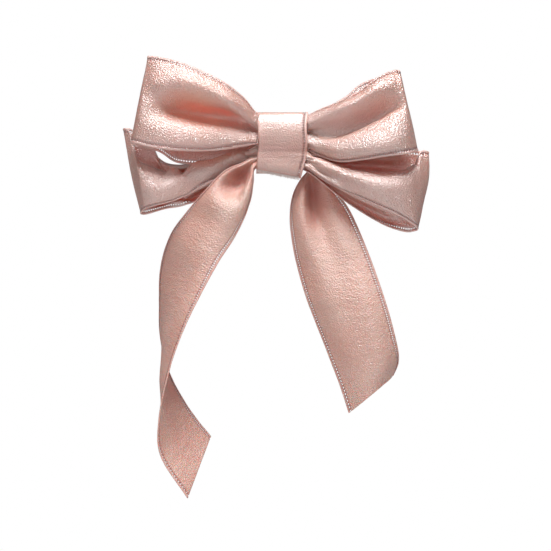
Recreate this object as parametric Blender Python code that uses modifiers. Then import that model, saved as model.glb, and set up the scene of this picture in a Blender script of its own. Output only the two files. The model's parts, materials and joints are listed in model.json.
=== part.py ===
"""Satin ribbon bow on a sprung alligator hair clip.

Frame: X along the clip and across the bow, -Y the side that shows when it is worn, +Y towards
the head, +Z up.  The origin lies on the closing plane of the jaws, behind the middle of the knot.
Each loop and each tail is its own cut length of ribbon, caught at the middle by the gathering
thread, wrapped by the knot band and glued to the upper jaw of the clip.
Lengths below are in millimetres and are turned into metres as the meshes are made.
"""
import math

import bmesh
import bpy
from mathutils import Vector

MM = 0.001

# ---------------------------------------------------------------- driving dimensions (mm)
RIBBON_WIDTH = 40.0        # flat width of the bow's ribbon
RIBBON_GAUGE = 0.8         # thickness of a ribbon solid
LEFT_REACH = 70.0          # middle of the knot to the far fold of the lower left loop
RIGHT_REACH = 65.6         # the same on the right
LEFT_TAIL_DROP = 155.0     # middle of the knot to the tip of the left tail
RIGHT_TAIL_DROP = 119.0    # the same on the right

BUNDLE_HEIGHT = 23.0       # gathered ribbon inside the knot
BUNDLE_DEPTH = 10.8        # the same from front to back
KNOT_SPREAD = 40.0 / 23.0  # height unit of the loops at the band, in knot heights
FAN_OUT = 0.35             # share of a loop's reach over which it opens to its full width
BAND_WIDTH = 22.0          # along X
BAND_GAUGE = 0.6
KNOT_LAYERS = 6            # thicknesses of loop and tail inside the knot
THREAD_RADIUS = 0.3
THREAD_TURNS = 3
KNOT_CORNER = 2.4          # how far the knot's front edges are rounded off

CLIP_WIDTH = 8.5
JAW_REACH = 48.0           # pivot to the tip of the jaws
LEVER_REACH = 14.0         # pivot to the end of the levers
JAW_GAUGE = 0.8            # sheet metal
LINING_GAUGE = 0.4
LINING_INSET = 0.4         # the lining and the lower jaw stop this far inside the upper jaw
GLUE_GAUGE = 0.7
TOOTH_PITCH = 2.4
TOOTH_HEIGHT = 1.1
PIN_RADIUS = 0.9
PIN_HEAD_RADIUS = 1.6
PIN_HEAD_HEIGHT = 0.5
EAR_RADIUS = 2.3
SPRING_WIRE_RADIUS = 0.3
SPRING_TURNS = 3.0
SPRING_LEG_SHARE = 0.62    # share of a lever that the spring's leg lies along
UPPER_LEVER_RISE = 4.0     # how far each lever spreads from the pivot's height to its end
LOWER_LEVER_RISE = 7.2

GAP = 0.3                  # between pieces that touch

# ---------------------------------------------------------------- sizes that follow from them
BAND_HALF = BAND_WIDTH / 2
BAND_BACK_OUTER = -GAP + 0.1                       # rear run of the band, just clear of the teeth
BAND_BACK_INNER = BAND_BACK_OUTER - BAND_GAUGE
LINING_INNER = BAND_BACK_INNER - GAP
LINING_OUTER = LINING_INNER - LINING_GAUGE
UPPER_JAW_Y = LINING_OUTER - GAP - JAW_GAUGE / 2   # middle of the upper jaw's sheet
GLUE_BACK = UPPER_JAW_Y - JAW_GAUGE / 2 - GAP
BUNDLE_BACK = GLUE_BACK - GLUE_GAUGE - GAP - 2 * THREAD_RADIUS
BUNDLE_FRONT = BUNDLE_BACK - BUNDLE_DEPTH
THREAD_CLEAR = GAP + THREAD_RADIUS
BAND_FRONT_INNER = BUNDLE_FRONT - THREAD_CLEAR - THREAD_RADIUS - GAP
BAND_TOP_INNER = BUNDLE_HEIGHT / 2 + THREAD_CLEAR + THREAD_RADIUS + GAP
TOOTH_TIP_Y = 0.3
LOWER_JAW_Y = TOOTH_TIP_Y + TOOTH_HEIGHT + JAW_GAUGE / 2
PIVOT_X = BAND_HALF + 4.0
PIVOT_Y = (UPPER_JAW_Y + LOWER_JAW_Y) / 2
PLATE_CLEAR = EAR_RADIUS + GAP + 0.1               # pivot to the inner face of either plate
PLATE_SPREAD = PLATE_CLEAR + JAW_GAUGE / 2         # pivot to the middle of either plate
FLARE_LENGTH = 5.0                                 # where the plates spread out to the pivot
JAW_TIP_X = PIVOT_X - JAW_REACH
LEVER_END_X = PIVOT_X + LEVER_REACH
EAR_SET_IN = 0.06                                  # ears stand just inside their plate's edge
OUTER_EAR_Z = CLIP_WIDTH / 2 - EAR_SET_IN - JAW_GAUGE / 2
INNER_EAR_Z = OUTER_EAR_Z - JAW_GAUGE - GAP - EAR_SET_IN
NECK_HALF = INNER_EAR_Z + JAW_GAUGE / 2 + EAR_SET_IN   # half width of the lower jaw at its ears
SPRING_RADIUS = PIN_RADIUS + GAP + SPRING_WIRE_RADIUS + 0.3
HOLE_RADIUS = PIN_RADIUS + GAP - 0.05

RIBBON_ROWS = 7            # points across a ribbon solid
RIBBON_STEPS = 3           # points between two stations


# ---------------------------------------------------------------- scene and materials
def clear_scene():
    for obj in list(bpy.data.objects):
        bpy.data.objects.remove(obj, do_unlink=True)


def make_collection(name):
    group = bpy.data.collections.new(name)
    bpy.context.scene.collection.children.link(group)
    return group


def make_material(name, color, roughness, metallic):
    material = bpy.data.materials.new(name)
    material.use_nodes = True
    shader = material.node_tree.nodes["Principled BSDF"]
    shader.inputs["Base Color"].default_value = (*color, 1.0)
    shader.inputs["Roughness"].default_value = roughness
    shader.inputs["Metallic"].default_value = metallic
    return material


clear_scene()
PARTS = make_collection("ribbon_bow_alligator_clip")
CUTTERS = make_collection("cutters")

SATIN = (0.70, 0.45, 0.39)
STEEL = (0.72, 0.72, 0.73)
SATIN_TONES = {"upper": 1.04, "lower": 0.96, "tail": 0.92, "band": 1.0}


def satin(name, tone):
    color = tuple(channel * SATIN_TONES[tone] for channel in SATIN)
    return make_material(name + "_satin", color, 0.38, 0.0)


def steel(name):
    return make_material(name + "_steel", STEEL, 0.3, 1.0)


# ---------------------------------------------------------------- mesh helpers
def add_object(name, mesh, material, location=(0, 0, 0), group=None):
    """Put a mesh in the scene; the location is in millimetres."""
    obj = bpy.data.objects.new(name, mesh)
    (group or PARTS).objects.link(obj)
    obj.location = Vector(location) * MM
    if material is not None:
        mesh.materials.append(material)
    return obj


def grid_mesh(name, rows):
    """An open sheet through a grid of points given in millimetres."""
    mesh = bpy.data.meshes.new(name)
    count = len(rows[0])
    points = [Vector(point) * MM for row in rows for point in row]
    faces = []
    for i in range(len(rows) - 1):
        for j in range(count - 1):
            corner = i * count + j
            faces.append((corner, corner + 1, corner + count + 1, corner + count))
    mesh.from_pydata(points, [], faces)
    return mesh


def thicken(obj, gauge):
    shell = obj.modifiers.new("thickness", "SOLIDIFY")
    shell.thickness = gauge * MM
    shell.offset = 0
    shell.use_even_offset = True
    return shell


def soften(obj, width, segments=2):
    edge = obj.modifiers.new("soft_edge", "BEVEL")
    edge.width = width * MM
    edge.segments = segments
    edge.limit_method = "ANGLE"
    return edge


def outline_plate(name, outline, thickness):
    """A flat plate in the XY plane, middle at Z = 0, from an outline in millimetres."""
    curve = bpy.data.curves.new(name, "CURVE")
    curve.dimensions = "2D"
    curve.fill_mode = "BOTH"
    curve.extrude = thickness / 2 * MM
    spline = curve.splines.new("POLY")
    spline.points.add(len(outline) - 1)
    for point, (x, y) in zip(spline.points, outline):
        point.co = (x * MM, y * MM, 0, 1)
    spline.use_cyclic_u = True
    return meshed_curve(name, curve, flat=True)


def meshed_curve(name, curve, flat=False):
    """Turn a curve into a mesh object whose caps are welded; a flat cap becomes one face."""
    guide = bpy.data.objects.new(name, curve)
    CUTTERS.objects.link(guide)
    bpy.context.view_layer.update()
    evaluated = guide.evaluated_get(bpy.context.evaluated_depsgraph_get())
    mesh = bpy.data.meshes.new_from_object(evaluated)
    bpy.data.objects.remove(guide, do_unlink=True)
    form = bmesh.new()
    form.from_mesh(mesh)
    bmesh.ops.remove_doubles(form, verts=form.verts, dist=0.01 * MM)
    if flat:
        bmesh.ops.dissolve_limit(form, angle_limit=0.01, verts=form.verts, edges=form.edges)
    bmesh.ops.recalc_face_normals(form, faces=form.faces)
    form.to_mesh(mesh)
    form.free()
    obj = bpy.data.objects.new(name, mesh)
    PARTS.objects.link(obj)
    return obj


def tube(name, points, radius, closed=False):
    """A round wire along a list of points in millimetres, as a mesh with closed ends."""
    curve = bpy.data.curves.new(name, "CURVE")
    curve.dimensions = "3D"
    curve.bevel_depth = radius * MM
    curve.bevel_resolution = 2
    curve.use_fill_caps = True
    spline = curve.splines.new("POLY")
    spline.points.add(len(points) - 1)
    for point, place in zip(spline.points, points):
        point.co = (*(Vector(place) * MM), 1)
    spline.use_cyclic_u = closed
    return meshed_curve(name, curve)


def helper(obj):
    """Move a piece that only cuts or joins another into the cutters' collection."""
    for group in list(obj.users_collection):
        group.objects.unlink(obj)
    CUTTERS.objects.link(obj)
    obj.hide_render = True
    obj.display_type = "WIRE"


def combine(obj, other, operation):
    change = obj.modifiers.new(operation.lower(), "BOOLEAN")
    change.operation = operation
    change.solver = "EXACT"
    change.object = other
    helper(other)


def smooth(points, steps):
    """Catmull-Rom points through the given stations, with both ends kept."""
    ends = [2 * points[0] - points[1]] + points + [2 * points[-1] - points[-2]]
    fine = []
    for a, b, c, d in zip(ends, ends[1:], ends[2:], ends[3:]):
        for k in range(steps):
            t = k / steps
            fine.append(0.5 * (2 * b + (c - a) * t + (2 * a - 5 * b + 4 * c - d) * t ** 2
                               + (3 * b - a - 3 * c + d) * t ** 3))
    return fine + [points[-1]]


# ---------------------------------------------------------------- ribbon loops
def slot(index):
    """Depth of a layer inside the knot, counted from the front."""
    return BUNDLE_FRONT + BUNDLE_DEPTH * (index + 0.5) / KNOT_LAYERS


def edge_points(side, reach, route, depths):
    """Ribbon edge: shares of the reach beyond the band, heights in ribbon widths."""
    span = reach - BAND_HALF - GAP
    return [Vector((side * (BAND_HALF + GAP + out * span), depth, up * spread(out)))
            for (out, up), depth in zip(route, depths)]


def spread(out):
    """Height of the gathered cloth: the knot's at the band, the ribbon's from FAN_OUT on."""
    share = min(1.0, max(0.0, out / FAN_OUT))
    return KNOT_SPREAD * BUNDLE_HEIGHT * (1 - share) + RIBBON_WIDTH * share


def core_end(side, depth, low, high):
    """The two points of a ribbon's end in the middle of the knot; heights are shares of it."""
    half = BUNDLE_HEIGHT / 2
    x = side * 2 * GAP
    return Vector((x, depth, high * half)), Vector((x, depth, low * half))


def ribbon_solid(name, upper, lower, cup, material, gauge=RIBBON_GAUGE):
    """A ribbon between two edges; cup bows the middle of each station towards -Y, in mm."""
    upper = smooth(upper, RIBBON_STEPS)
    lower = smooth(lower, RIBBON_STEPS)
    cup = smooth(cup, RIBBON_STEPS)
    rows = []
    for top, bottom, bow in zip(upper, lower, cup):
        row = []
        for j in range(RIBBON_ROWS):
            share = j / (RIBBON_ROWS - 1)
            point = top.lerp(bottom, share)
            point.y -= bow * math.sin(math.pi * share)
            row.append(point)
        rows.append(row)
    obj = add_object(name, grid_mesh(name, rows), material)
    thicken(obj, gauge)
    obj.data.shade_smooth()
    return obj


def loop(name, side, reach, layers, core, front, back, material):
    """A closed loop: out along its front layer, round the fold and home along its back layer.

    front and back each hold the routes of the top and bottom edges and their depths; layers are
    the two slots inside the knot and core the share of its height that the loop takes up there.
    """
    front_top, front_bottom = core_end(side, slot(layers[0]), *core)
    back_top, back_bottom = core_end(side, slot(layers[1]), *core)
    top = [front_top]
    top += edge_points(side, reach, front["top"], front["top_y"])
    top += edge_points(side, reach, back["top"], back["top_y"])
    top.append(back_top)
    bottom = [front_bottom]
    bottom += edge_points(side, reach, front["bottom"], front["bottom_y"])
    bottom += edge_points(side, reach, back["bottom"], back["bottom_y"])
    bottom.append(back_bottom)
    cup = [0.0] + front["cup"] + back["cup"] + [0.0]
    return ribbon_solid(name, top, bottom, cup, material)


def upper_left_loop():
    front = {
        "top": [(0.0, 0.27), (0.17, 0.56), (0.44, 0.77), (0.72, 0.91), (0.80, 0.95)],
        "bottom": [(0.0, 0.01), (0.20, -0.05), (0.45, -0.09), (0.76, -0.06), (0.92, -0.01)],
        "top_y": [slot(0), -17.0, -20.0, -19.5, -18.0],
        "bottom_y": [slot(0), -17.5, -21.0, -20.5, -18.0],
        "cup": [0.0, 2.0, 3.0, 1.5, 0.5],
    }
    back = {
        "top": [(0.80, 0.95), (0.70, 0.90), (0.44, 0.74), (0.17, 0.50), (0.0, 0.27)],
        "bottom": [(0.93, -0.02), (0.74, -0.08), (0.45, -0.13), (0.20, -0.06), (0.0, 0.01)],
        "top_y": [-14.5, -12.5, -12.0, -12.5, slot(1)],
        "bottom_y": [-14.5, -12.5, -12.2, -12.6, slot(1)],
        "cup": [-0.5, -0.5, -0.8, 0.0, 0.0],
    }
    return loop("upper_left_loop", -1, LEFT_REACH, (0, 1), (0.02, 0.80), front, back,
                satin("upper_left", "upper"))


def lower_left_loop():
    front = {
        "top": [(0.0, -0.06), (0.25, -0.14), (0.53, -0.22), (0.82, -0.20), (0.99, 0.16)],
        "bottom": [(0.0, -0.25), (0.22, -0.38), (0.45, -0.52), (0.68, -0.65), (0.85, -0.76)],
        "top_y": [slot(4), -9.2, -9.8, -10.0, -9.0],
        "bottom_y": [slot(4), -10.5, -13.0, -13.5, -11.5],
        "cup": [0.0, 1.0, 1.5, 1.0, 0.5],
    }
    back = {
        "top": [(1.0, 0.17), (0.84, 0.05), (0.60, -0.26), (0.28, -0.24), (0.0, -0.06)],
        "bottom": [(0.86, -0.77), (0.67, -0.71), (0.45, -0.62), (0.22, -0.45), (0.0, -0.25)],
        "top_y": [-5.5, -4.8, -5.0, -5.2, slot(5)],
        "bottom_y": [-7.0, -5.5, -5.2, -5.2, slot(5)],
        "cup": [-0.3, -0.3, -0.3, 0.0, 0.0],
    }
    return loop("lower_left_loop", -1, LEFT_REACH, (4, 5), (-0.82, -0.1), front, back,
                satin("lower_left", "lower"))


def upper_right_loop():
    front = {
        "top": [(0.0, 0.26), (0.20, 0.42), (0.42, 0.57), (0.62, 0.75), (0.72, 0.80)],
        "bottom": [(0.0, -0.03), (0.20, -0.16), (0.45, -0.19), (0.72, -0.14), (0.89, -0.08)],
        "top_y": [slot(1), -16.5, -19.5, -19.0, -17.5],
        "bottom_y": [slot(1), -14.2, -17.0, -18.5, -17.5],
        "cup": [0.0, -1.0, -1.5, 0.5, 0.5],
    }
    back = {
        "top": [(0.72, 0.80), (0.62, 0.73), (0.42, 0.63), (0.20, 0.46), (0.0, 0.26)],
        "bottom": [(0.89, -0.06), (0.70, -0.10), (0.45, -0.12), (0.20, -0.08), (0.0, -0.01)],
        "top_y": [-14.0, -12.6, -12.2, -12.0, slot(2)],
        "bottom_y": [-14.0, -12.8, -12.4, -12.0, slot(2)],
        "cup": [-0.5, -0.3, -0.5, 0.0, 0.0],
    }
    return loop("upper_right_loop", 1, RIGHT_REACH, (1, 2), (0.02, 0.86), front, back,
                satin("upper_right", "upper"))


def lower_right_loop():
    front = {
        "top": [(0.0, -0.07), (0.30, -0.24), (0.55, -0.31), (0.80, -0.26), (0.99, -0.09)],
        "bottom": [(0.0, -0.27), (0.22, -0.50), (0.45, -0.62), (0.70, -0.78), (0.88, -0.93)],
        "top_y": [slot(0), -17.5, -19.5, -17.5, -12.8],
        "bottom_y": [slot(0), -18.0, -20.5, -19.5, -15.0],
        "cup": [0.0, 2.0, 3.0, 2.0, 0.8],
    }
    back = {
        "top": [(1.0, -0.08), (0.80, -0.03), (0.55, -0.01), (0.30, -0.03), (0.0, -0.10)],
        "bottom": [(0.88, -0.97), (0.70, -0.92), (0.45, -0.75), (0.25, -0.55), (0.0, -0.26)],
        "top_y": [-9.4, -9.2, -9.2, -9.2, slot(3)],
        "bottom_y": [-10.6, -9.6, -9.4, -9.4, slot(3)],
        "cup": [-0.4, -0.4, -0.4, 0.0, 0.0],
    }
    return loop("lower_right_loop", 1, RIGHT_REACH, (0, 3), (-0.80, -0.1), front, back,
                satin("lower_right", "lower"))


# ---------------------------------------------------------------- ribbon tails
def tail_edge(side, drop, route):
    """Edge of a tail: distance out in ribbon widths, share of the drop, and depth."""
    return [Vector((side * out * RIBBON_WIDTH, depth, -down * drop))
            for out, down, depth in route]


def tail(name, side, drop, layer, core, near, far, cup, material):
    """A hanging tail between its near and far edges, named from the middle of the bow.

    Before the first station the ribbon leaves the side of the knot and turns down past the
    knot's lower corner.
    """
    far_end, near_end = core_end(side, slot(layer), *core)
    corner = -BAND_TOP_INNER - BAND_GAUGE
    far_mouth = Vector((side * (BAND_HALF + 3.0), slot(layer), 0.42 * corner))
    near_mouth = Vector((side * (BAND_HALF + 4 * GAP), slot(layer), 0.74 * corner))
    far_points = [far_end, far_mouth] + tail_edge(side, drop, far)
    near_points = [near_end, near_mouth] + tail_edge(side, drop, near)
    return ribbon_solid(name, far_points, near_points, [0.0, 0.0] + cup, material)


def left_tail():
    """The longer tail, which turns over once on its way down."""
    near = [(0.33, 0.115, -14.5), (0.37, 0.190, -20.0), (0.53, 0.270, -24.0),
            (0.75, 0.365, -28.0), (0.96, 0.470, -31.5), (1.14, 0.575, -33.0),
            (1.28, 0.685, -34.0), (1.345, 0.785, -32.0), (1.31, 0.890, -29.0),
            (1.02, 1.000, -27.0)]
    far = [(0.60, 0.100, -14.0), (0.94, 0.165, -14.0), (1.16, 0.232, -8.0),
           (1.30, 0.315, -2.0), (1.36, 0.425, 0.5), (1.35, 0.540, 2.0),
           (1.30, 0.632, 2.0), (1.10, 0.730, 2.0), (0.96, 0.783, 1.0),
           (0.79, 0.838, 0.0)]
    cup = [0.0, -1.5, 0.5, 1.0, 1.0, 0.5, 0.0, 0.0, 0.0, 0.0]
    return tail("tail_left", -1, LEFT_TAIL_DROP, 3, (-0.80, -0.40), near, far, cup,
                satin("tail_left", "tail"))


def right_tail():
    """The shorter tail, which hangs nearly flat."""
    near = [(0.22, 0.160, slot(5) - 0.4), (0.10, 0.245, -6.0), (0.11, 0.370, -6.5),
            (0.24, 0.540, -8.0), (0.41, 0.702, -9.5), (0.59, 0.850, -10.5),
            (0.74, 0.999, -10.5)]
    far = [(0.46, 0.125, slot(5) - 0.4), (0.73, 0.225, -8.0), (0.93, 0.378, -10.5),
           (1.08, 0.536, -13.0), (1.21, 0.681, -14.5), (1.28, 0.800, -14.0),
           (1.25, 0.857, -12.5)]
    cup = [0.0, -1.5, -1.0, 0.8, 1.5, 1.5, 1.0]
    return tail("tail_right", 1, RIGHT_TAIL_DROP, 5, (-0.76, -0.45), near, far, cup,
                satin("tail_right", "tail"))


# ---------------------------------------------------------------- knot
def rounded_corner(y, z, size):
    """Three points that take the corner at (y, z) off, from the front round to the top."""
    return [(y, z - size), (y + 0.3 * size, z - 0.3 * size), (y + size, z)]


def ring_outline(front, top, back, waist):
    """Half of the section of the knot in YZ, from the front middle over the top to the back."""
    shoulder = BUNDLE_BACK - 0.6
    return [(front, 0.0), *rounded_corner(front, top, KNOT_CORNER), (shoulder, top),
            (shoulder + 1.8, top - 1.6), (back - 1.0, waist + 1.6), (back, waist - 0.6),
            (back, 0.0)]


def closed_ring(half):
    """Mirror a half outline below Z = 0 and close it."""
    return half + [(y, -z) for y, z in reversed(half[1:-1])]


def knot_band():
    ring = closed_ring(ring_outline(BAND_FRONT_INNER - BAND_GAUGE / 2,
                                    BAND_TOP_INNER + BAND_GAUGE / 2,
                                    BAND_BACK_INNER + BAND_GAUGE / 2,
                                    CLIP_WIDTH / 2 + 2.0))
    columns = 5
    rows = []
    for y, z in ring + ring[:1]:
        rows.append([(BAND_WIDTH * (k / (columns - 1) - 0.5), y, z) for k in range(columns)])
    obj = add_object("knot_band", grid_mesh("knot_band", rows), satin("knot_band", "band"))
    form = bmesh.new()
    form.from_mesh(obj.data)
    bmesh.ops.remove_doubles(form, verts=form.verts, dist=0.01 * MM)
    bmesh.ops.recalc_face_normals(form, faces=form.faces)
    form.to_mesh(obj.data)
    form.free()
    thicken(obj, BAND_GAUGE)
    obj.data.shade_smooth()
    return obj


def gather_thread():
    """Three turns of thread round the gathered ribbon, as one closed winding."""
    top = BUNDLE_HEIGHT / 2 + THREAD_CLEAR
    front = BUNDLE_FRONT - THREAD_CLEAR
    back = BUNDLE_BACK + THREAD_CLEAR
    upper = rounded_corner(front, top, KNOT_CORNER) + [(back - 1.6, top), (back, top - 2.0)]
    loop_points = upper + [(y, -z) for y, z in reversed(upper)]
    points = []
    total = THREAD_TURNS * len(loop_points)
    pitch = 2 * THREAD_RADIUS + GAP
    for k in range(total + 1):
        y, z = loop_points[k % len(loop_points)]
        points.append((pitch * (k / len(loop_points) - THREAD_TURNS / 2), y, z))
    obj = tube("gather_thread", points, THREAD_RADIUS)
    obj.data.materials.append(make_material("gather_thread_cotton", (0.62, 0.40, 0.34), 0.8, 0.0))
    return obj


def glue_pad():
    length = BAND_WIDTH - 4.0
    height = CLIP_WIDTH - 1.5
    bpy.ops.mesh.primitive_cube_add(size=1)
    obj = bpy.context.object
    obj.name = "glue_pad"
    obj.data.name = "glue_pad"
    obj.location = Vector((0, GLUE_BACK - GLUE_GAUGE / 2, 0)) * MM
    for vertex in obj.data.vertices:
        vertex.co = Vector((vertex.co.x * length, vertex.co.y * GLUE_GAUGE,
                            vertex.co.z * height)) * MM
    soften(obj, 0.25)
    for group in list(obj.users_collection):
        group.objects.unlink(obj)
    PARTS.objects.link(obj)
    obj.data.materials.append(make_material("glue_pad_glue", (0.85, 0.80, 0.68), 0.35, 0.0))
    return obj


def jaw_lining():
    """Narrow ribbon glued along the inner face of the upper jaw."""
    start = JAW_TIP_X + 1.0
    end = PIVOT_X - FLARE_LENGTH - 1.0
    y = (LINING_INNER + LINING_OUTER) / 2
    half = CLIP_WIDTH / 2 - LINING_INSET
    tip = [(start, half - 2.5), (start + 0.8, half - 0.8), (start + 2.6, half), (end, half)]
    rows = [[(x, y, width), (x, y, 0.0), (x, y, -width)] for x, width in tip]
    obj = add_object("jaw_lining", grid_mesh("jaw_lining", rows), satin("jaw_lining", "band"))
    thicken(obj, LINING_GAUGE)
    return obj


# ---------------------------------------------------------------- clip
def jaw_plate(name, profile, material):
    """Bent sheet from stations of (x, y, half width)."""
    rows = [[(x, y, half), (x, y, 0.0), (x, y, -half)] for x, y, half in profile]
    obj = add_object(name, grid_mesh(name, rows), material)
    thicken(obj, JAW_GAUGE)
    return obj


def ear_outline(toward, plate_y, foot):
    """Ear round the pivot: a half round end that widens to the plate it grows from."""
    arc = 10
    points = []
    for k in range(arc + 1):
        angle = math.pi * k / arc
        points.append((EAR_RADIUS * math.cos(angle), -toward * EAR_RADIUS * math.sin(angle)))
    points.append((-foot, toward * plate_y))
    points.append((foot, toward * plate_y))
    return points


def ear_pair(name, toward, z_middle):
    """Two ears with the pin's hole, toward = -1 for the upper jaw and +1 for the lower one."""
    ears = []
    for hand in (-1, 1):
        ear = outline_plate(f"{name}_ear", ear_outline(toward, PLATE_SPREAD, EAR_RADIUS + 0.6),
                            JAW_GAUGE)
        ear.location = Vector((PIVOT_X, PIVOT_Y, hand * z_middle)) * MM
        ears.append(ear)
    return ears


def pin_hole(name):
    bpy.ops.mesh.primitive_cylinder_add(vertices=24, radius=HOLE_RADIUS * MM,
                                        depth=2 * CLIP_WIDTH * MM,
                                        location=Vector((PIVOT_X, PIVOT_Y, 0)) * MM)
    hole = bpy.context.object
    hole.name = name
    return hole


def upper_profile():
    lever = math.hypot(LEVER_REACH, UPPER_LEVER_RISE)
    slope = UPPER_LEVER_RISE / LEVER_REACH
    full = CLIP_WIDTH / 2
    pivot_y = PIVOT_Y - PLATE_SPREAD
    profile = [(JAW_TIP_X, UPPER_JAW_Y, full - 2.2), (JAW_TIP_X + 0.9, UPPER_JAW_Y, full - 0.9),
               (JAW_TIP_X + 2.8, UPPER_JAW_Y, full)]
    profile.append((PIVOT_X - FLARE_LENGTH, UPPER_JAW_Y, full))
    profile.append((PIVOT_X - EAR_RADIUS, pivot_y, full))
    for share, half in ((EAR_RADIUS / lever, full), (0.72, full), (0.93, full - 0.8),
                        (1.0, full - 2.2)):
        x = LEVER_REACH * share
        profile.append((PIVOT_X + x, pivot_y - slope * x, half))
    return profile


def lower_profile():
    slope = LOWER_LEVER_RISE / LEVER_REACH
    full = CLIP_WIDTH / 2 - LINING_INSET
    pivot_y = PIVOT_Y + PLATE_SPREAD
    neck_start = PIVOT_X - FLARE_LENGTH - 0.8
    profile = [(JAW_TIP_X, LOWER_JAW_Y, full - 2.2), (JAW_TIP_X + 0.9, LOWER_JAW_Y, full - 0.9),
               (JAW_TIP_X + 2.8, LOWER_JAW_Y, full), (neck_start - 1.5, LOWER_JAW_Y, full),
               (neck_start, LOWER_JAW_Y, NECK_HALF), (PIVOT_X - EAR_RADIUS, pivot_y, NECK_HALF)]
    for share, half in ((0.22, NECK_HALF), (0.40, NECK_HALF), (0.55, full), (0.72, full),
                        (0.93, full - 0.8), (1.0, full - 2.2)):
        x = LEVER_REACH * share
        profile.append((PIVOT_X + x, pivot_y + slope * x, half))
    return profile


def tooth_wall(name, z):
    """Row of teeth along one edge of the lower jaw."""
    start = JAW_TIP_X + 3.0
    end = PIVOT_X - FLARE_LENGTH - 3.0
    count = int((end - start) / TOOTH_PITCH)
    valley = TOOTH_TIP_Y + 0.75 * TOOTH_HEIGHT
    edge = []
    for k in range(count):
        left = start + k * TOOTH_PITCH
        edge.append((left, valley))
        edge.append((left + 0.42 * TOOTH_PITCH, TOOTH_TIP_Y))
        edge.append((left + 0.58 * TOOTH_PITCH, TOOTH_TIP_Y))
    edge.append((start + count * TOOTH_PITCH, valley))
    rows = [[(x, y, z), (x, LOWER_JAW_Y, z)] for x, y in edge]
    teeth = add_object(name, grid_mesh(name, rows), None)
    thicken(teeth, JAW_GAUGE)
    return teeth


def clip_top_jaw():
    jaw = jaw_plate("clip_top_jaw", upper_profile(), steel("clip_top_jaw"))
    for ear in ear_pair("clip_top_jaw", -1, OUTER_EAR_Z):
        combine(jaw, ear, "UNION")
    combine(jaw, pin_hole("clip_top_jaw_hole"), "DIFFERENCE")
    return jaw


def clip_bottom_jaw():
    jaw = jaw_plate("clip_bottom_jaw", lower_profile(), steel("clip_bottom_jaw"))
    for hand in (-1, 1):
        z = hand * (CLIP_WIDTH / 2 - LINING_INSET - JAW_GAUGE / 2 - 0.1)
        combine(jaw, tooth_wall("clip_bottom_jaw_teeth", z), "UNION")
    for ear in ear_pair("clip_bottom_jaw", 1, INNER_EAR_Z):
        combine(jaw, ear, "UNION")
    combine(jaw, pin_hole("clip_bottom_jaw_hole"), "DIFFERENCE")
    return jaw


def move_origin(obj, place):
    """Set a piece's origin at a place in millimetres and leave its shape where it is."""
    shift = Vector(place) * MM - obj.location
    for vertex in obj.data.vertices:
        vertex.co -= shift
    obj.location += shift


def clip_pivot_pin():
    """Headed pin through the four ears, turned about its own axis."""
    shaft_half = CLIP_WIDTH / 2 + GAP
    head = shaft_half + PIN_HEAD_HEIGHT
    profile = [(0, head), (PIN_HEAD_RADIUS * 0.8, head), (PIN_HEAD_RADIUS, head - 0.15),
               (PIN_HEAD_RADIUS, shaft_half), (PIN_RADIUS, shaft_half),
               (PIN_RADIUS, -shaft_half), (PIN_HEAD_RADIUS, -shaft_half),
               (PIN_HEAD_RADIUS, 0.15 - head), (PIN_HEAD_RADIUS * 0.8, -head), (0, -head)]
    mesh = bpy.data.meshes.new("clip_pivot_pin")
    points = [(radius * MM, 0, z * MM) for radius, z in profile]
    mesh.from_pydata(points, [(k, k + 1) for k in range(len(points) - 1)], [])
    obj = add_object("clip_pivot_pin", mesh, steel("clip_pivot_pin"), (PIVOT_X, PIVOT_Y, 0))
    turn = obj.modifiers.new("turn", "SCREW")
    turn.axis = "Z"
    turn.steps = 24
    turn.render_steps = 24
    turn.use_merge_vertices = True
    turn.merge_threshold = 0.00001
    obj.data.shade_smooth()
    return obj


def clip_spring():
    """Torsion spring on the pin: a leg on each lever and close turns between them."""
    half = INNER_EAR_Z - JAW_GAUGE / 2 - GAP - SPRING_WIRE_RADIUS
    radius = SPRING_RADIUS
    leg = LEVER_REACH * SPRING_LEG_SHARE
    inset = JAW_GAUGE / 2 + GAP + SPRING_WIRE_RADIUS
    upper_angle = math.atan2(UPPER_LEVER_RISE, LEVER_REACH)
    lower_angle = math.atan2(LOWER_LEVER_RISE, LEVER_REACH)
    upper_y = -(PLATE_SPREAD + leg * math.tan(upper_angle) - inset / math.cos(upper_angle))
    lower_y = PLATE_SPREAD + leg * math.tan(lower_angle) - inset / math.cos(lower_angle)
    steps_per_turn = 16
    start = -math.pi / 2
    sweep = 2 * math.pi * SPRING_TURNS + math.pi
    count = int(steps_per_turn * sweep / (2 * math.pi))
    points = [(leg, upper_y, -half), (leg * 0.55, upper_y * 0.62, -half)]
    for k in range(count + 1):
        angle = start - sweep * k / count
        points.append((radius * math.cos(angle), radius * math.sin(angle),
                       -half + 2 * half * k / count))
    points += [(leg * 0.55, lower_y * 0.62, half), (leg, lower_y, half)]
    obj = tube("clip_spring", points, SPRING_WIRE_RADIUS)
    obj.location = Vector((PIVOT_X, PIVOT_Y, 0)) * MM
    obj.data.materials.append(steel("clip_spring"))
    obj.data.shade_smooth()
    return obj


# ---------------------------------------------------------------- assembly
def build():
    upper_left_loop()
    lower_left_loop()
    upper_right_loop()
    lower_right_loop()
    left_tail()
    right_tail()
    knot_band()
    gather_thread()
    glue_pad()
    jaw_lining()
    clip_top_jaw()
    bottom = clip_bottom_jaw()
    move_origin(bottom, (PIVOT_X, PIVOT_Y, 0))
    clip_pivot_pin()
    clip_spring()
    bpy.context.view_layer.update()


build()
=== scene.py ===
import json
import math

import bmesh
import bpy
import numpy as np
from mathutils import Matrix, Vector, noise


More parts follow.
